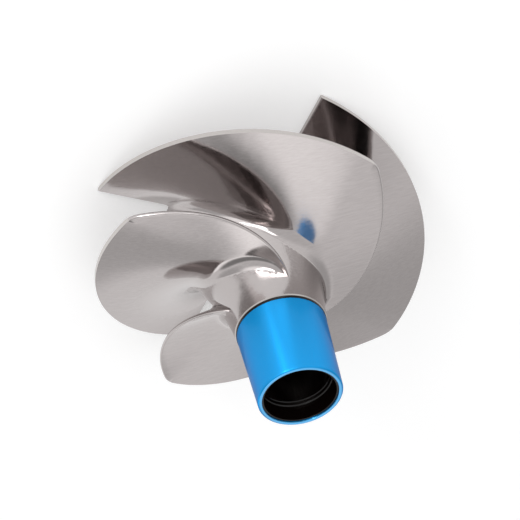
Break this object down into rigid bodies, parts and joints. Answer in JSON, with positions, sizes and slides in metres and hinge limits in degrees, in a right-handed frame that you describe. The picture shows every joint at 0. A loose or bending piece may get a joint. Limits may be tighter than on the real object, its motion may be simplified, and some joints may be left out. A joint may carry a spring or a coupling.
{
  "type": "pump impeller",
  "caption": "Mixed-flow jet-pump impeller: overlapping helical blades on a tapered hollow hub, with a splined drive socket under a tapered lined sleeve.",
  "frame": {"origin": "centre of the outlet plane on the shaft's axis, where the casting was faced off and stands", "axes": "+Z along the shaft, from the outlet side to the inlet side and the sleeve's mouth; +X and +Y are free, because the blades repeat every quarter turn"},
  "size_m": [0.159, 0.159, 0.1159],
  "materials": {
    "cast_stainless": "cast stainless steel, ground and polished, with turned tips",
    "anodised_sleeve": "turned aluminium, blue anodised",
    "seal_rubber": "moulded black nitrile rubber",
    "liner_rubber": "moulded black rubber, smooth"
  },
  "bodies": {
    "root": {"impeller": "cast_stainless", "boot_sleeve": "anodised_sleeve", "seal_ring": "seal_rubber", "sleeve_liner": "liner_rubber"}
  },
  "joints": []
}
